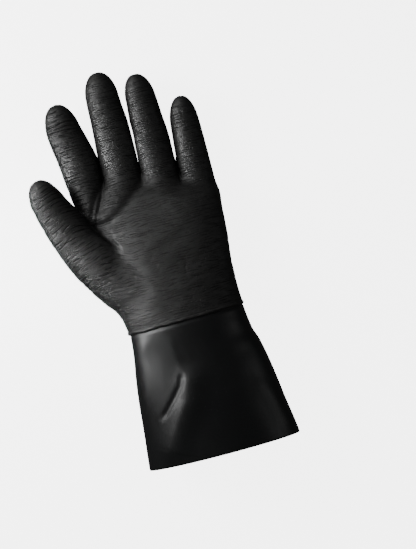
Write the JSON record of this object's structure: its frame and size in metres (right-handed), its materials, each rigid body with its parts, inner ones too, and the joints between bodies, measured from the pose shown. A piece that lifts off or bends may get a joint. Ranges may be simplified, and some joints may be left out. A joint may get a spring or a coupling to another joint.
{
  "type": "gauntlet work glove",
  "caption": "Left-hand rubber gauntlet glove with a knit liner, a rough-coated hand that bends at wrist, fingers and thumb, and a smooth flared cuff.",
  "frame": {"origin": "centre of the cuff's mouth, in the plane of its rim", "axes": "+Y from the mouth to the fingertips, +Z out of the palm, +X towards the little finger; the glove lies on its back"},
  "size_m": [0.1704, 0.3526, 0.0722],
  "materials": {
    "rough_rubber": "matt crinkled rubber",
    "smooth_rubber": "smooth satin rubber",
    "knit_liner": "fine knit cotton",
    "seam_thread": "overlocked cotton thread"
  },
  "bodies": {
    "gauntlet": {"gauntlet_coating": "smooth_rubber", "gauntlet_liner_front": "knit_liner", "gauntlet_liner_back": "knit_liner", "gauntlet_liner_seams": "seam_thread", "wrist_smooth_coating": "smooth_rubber", "wrist_liner": "knit_liner"},
    "palm": {"palm_coating": "rough_rubber", "palm_liner_front": "knit_liner", "palm_liner_back": "knit_liner", "wrist_rough_coating": "rough_rubber", "index_knuckle_skin": "rough_rubber", "middle_knuckle_skin": "rough_rubber", "ring_knuckle_skin": "rough_rubber", "little_knuckle_skin": "rough_rubber", "thumb_knuckle_skin": "rough_rubber"},
    "index_proximal": {"index_proximal_coating": "rough_rubber", "index_proximal_liner": "knit_liner", "index_middle_joint_skin": "rough_rubber"},
    "index_middle": {"index_middle_coating": "rough_rubber", "index_middle_liner": "knit_liner", "index_tip_joint_skin": "rough_rubber"},
    "index_tip": {"index_tip_coating": "rough_rubber", "index_tip_liner": "knit_liner"},
    "middle_proximal": {"middle_proximal_coating": "rough_rubber", "middle_proximal_liner": "knit_liner", "middle_middle_joint_skin": "rough_rubber"},
    "middle_middle": {"middle_middle_coating": "rough_rubber", "middle_middle_liner": "knit_liner", "middle_tip_joint_skin": "rough_rubber"},
    "middle_tip": {"middle_tip_coating": "rough_rubber", "middle_tip_liner": "knit_liner"},
    "ring_proximal": {"ring_proximal_coating": "rough_rubber", "ring_proximal_liner": "knit_liner", "ring_middle_joint_skin": "rough_rubber"},
    "ring_middle": {"ring_middle_coating": "rough_rubber", "ring_middle_liner": "knit_liner", "ring_tip_joint_skin": "rough_rubber"},
    "ring_tip": {"ring_tip_coating": "rough_rubber", "ring_tip_liner": "knit_liner"},
    "little_proximal": {"little_proximal_coating": "rough_rubber", "little_proximal_liner": "knit_liner", "little_middle_joint_skin": "rough_rubber"},
    "little_middle": {"little_middle_coating": "rough_rubber", "little_middle_liner": "knit_liner", "little_tip_joint_skin": "rough_rubber"},
    "little_tip": {"little_tip_coating": "rough_rubber", "little_tip_liner": "knit_liner"},
    "thumb_proximal": {"thumb_proximal_coating": "rough_rubber", "thumb_proximal_liner": "knit_liner", "thumb_tip_joint_skin": "rough_rubber"},
    "thumb_tip": {"thumb_tip_coating": "rough_rubber", "thumb_tip_liner": "knit_liner"}
  },
  "joints": [
    {"name": "wrist", "type": "hinge", "parent": "gauntlet", "child": "palm", "pos_m": [0, 0.122, -0.005], "axis": [1, 0, 0], "range_deg": [0, 50], "stiffness_Nm_per_rad": 0.6, "deforming": ["wrist_smooth_coating", "wrist_rough_coating", "wrist_liner"]},
    {"name": "index_knuckle", "type": "hinge", "parent": "palm", "child": "index_proximal", "pos_m": [-0.05509, 0.27094, -0.02013], "axis": [0.9965, 0.0837, 0], "range_deg": [0, 60], "stiffness_Nm_per_rad": 0.1, "deforming": ["index_knuckle_skin"]},
    {"name": "index_middle_joint", "type": "hinge", "parent": "index_proximal", "child": "index_middle", "pos_m": [-0.05734, 0.29773, -0.01759], "axis": [0.9965, 0.0837, 0], "range_deg": [0, 65], "stiffness_Nm_per_rad": 0.08, "deforming": ["index_middle_joint_skin"]},
    {"name": "index_tip_joint", "type": "hinge", "parent": "index_middle", "child": "index_tip", "pos_m": [-0.05907, 0.31837, -0.01418], "axis": [0.9965, 0.0837, 0], "range_deg": [0, 39], "stiffness_Nm_per_rad": 0.05, "deforming": ["index_tip_joint_skin"]},
    {"name": "middle_knuckle", "type": "hinge", "parent": "palm", "child": "middle_proximal", "pos_m": [-0.02009, 0.27348, -0.01993], "axis": [0.999, -0.0454, 0], "range_deg": [0, 60], "stiffness_Nm_per_rad": 0.1, "deforming": ["middle_knuckle_skin"]},
    {"name": "middle_middle_joint", "type": "hinge", "parent": "middle_proximal", "child": "middle_middle", "pos_m": [-0.01858, 0.30678, -0.0167], "axis": [0.999, -0.0454, 0], "range_deg": [0, 65], "stiffness_Nm_per_rad": 0.08, "deforming": ["middle_middle_joint_skin"]},
    {"name": "middle_tip_joint", "type": "hinge", "parent": "middle_middle", "child": "middle_tip", "pos_m": [-0.0175, 0.33039, -0.0126], "axis": [0.999, -0.0454, 0], "range_deg": [0, 39], "stiffness_Nm_per_rad": 0.05, "deforming": ["middle_tip_joint_skin"]},
    {"name": "ring_knuckle", "type": "hinge", "parent": "palm", "child": "ring_proximal", "pos_m": [0.01287, 0.26999, -0.02054], "axis": [0.9998, -0.0209, 0], "range_deg": [0, 60], "stiffness_Nm_per_rad": 0.09, "deforming": ["ring_knuckle_skin"]},
    {"name": "ring_middle_joint", "type": "hinge", "parent": "ring_proximal", "child": "ring_middle", "pos_m": [0.01351, 0.30033, -0.01757], "axis": [0.9998, -0.0209, 0], "range_deg": [0, 65], "stiffness_Nm_per_rad": 0.07, "deforming": ["ring_middle_joint_skin"]},
    {"name": "ring_tip_joint", "type": "hinge", "parent": "ring_middle", "child": "ring_tip", "pos_m": [0.01396, 0.322, -0.01382], "axis": [0.9998, -0.0209, 0], "range_deg": [0, 39], "stiffness_Nm_per_rad": 0.05, "deforming": ["ring_tip_joint_skin"]},
    {"name": "little_knuckle", "type": "hinge", "parent": "palm", "child": "little_proximal", "pos_m": [0.04474, 0.26147, -0.02197], "axis": [0.9979, -0.0645, 0], "range_deg": [0, 60], "stiffness_Nm_per_rad": 0.07, "deforming": ["little_knuckle_skin"]},
    {"name": "little_middle_joint", "type": "hinge", "parent": "little_proximal", "child": "little_middle", "pos_m": [0.04606, 0.28183, -0.02005], "axis": [0.9979, -0.0645, 0], "range_deg": [0, 65], "stiffness_Nm_per_rad": 0.05, "deforming": ["little_middle_joint_skin"]},
    {"name": "little_tip_joint", "type": "hinge", "parent": "little_middle", "child": "little_tip", "pos_m": [0.04711, 0.29809, -0.01745], "axis": [0.9979, -0.0645, 0], "range_deg": [0, 39], "stiffness_Nm_per_rad": 0.05, "deforming": ["little_tip_joint_skin"]},
    {"name": "thumb_knuckle", "type": "hinge", "parent": "palm", "child": "thumb_proximal", "pos_m": [-0.07912, 0.22982, -0.00116], "axis": [0.9006, 0.3674, -0.2321], "range_deg": [0, 30], "stiffness_Nm_per_rad": 0.12, "deforming": ["thumb_knuckle_skin"]},
    {"name": "thumb_tip_joint", "type": "hinge", "parent": "thumb_proximal", "child": "thumb_tip", "pos_m": [-0.08653, 0.25017, 0.00274], "axis": [0.8973, 0.3759, -0.2313], "range_deg": [0, 40], "stiffness_Nm_per_rad": 0.08, "deforming": ["thumb_tip_joint_skin"]}
  ],
  "couplings": [
    {"joint": "index_tip_joint", "follows": "index_middle_joint", "ratio": 0.6},
    {"joint": "middle_tip_joint", "follows": "middle_middle_joint", "ratio": 0.6},
    {"joint": "ring_tip_joint", "follows": "ring_middle_joint", "ratio": 0.6},
    {"joint": "little_tip_joint", "follows": "little_middle_joint", "ratio": 0.6}
  ]
}
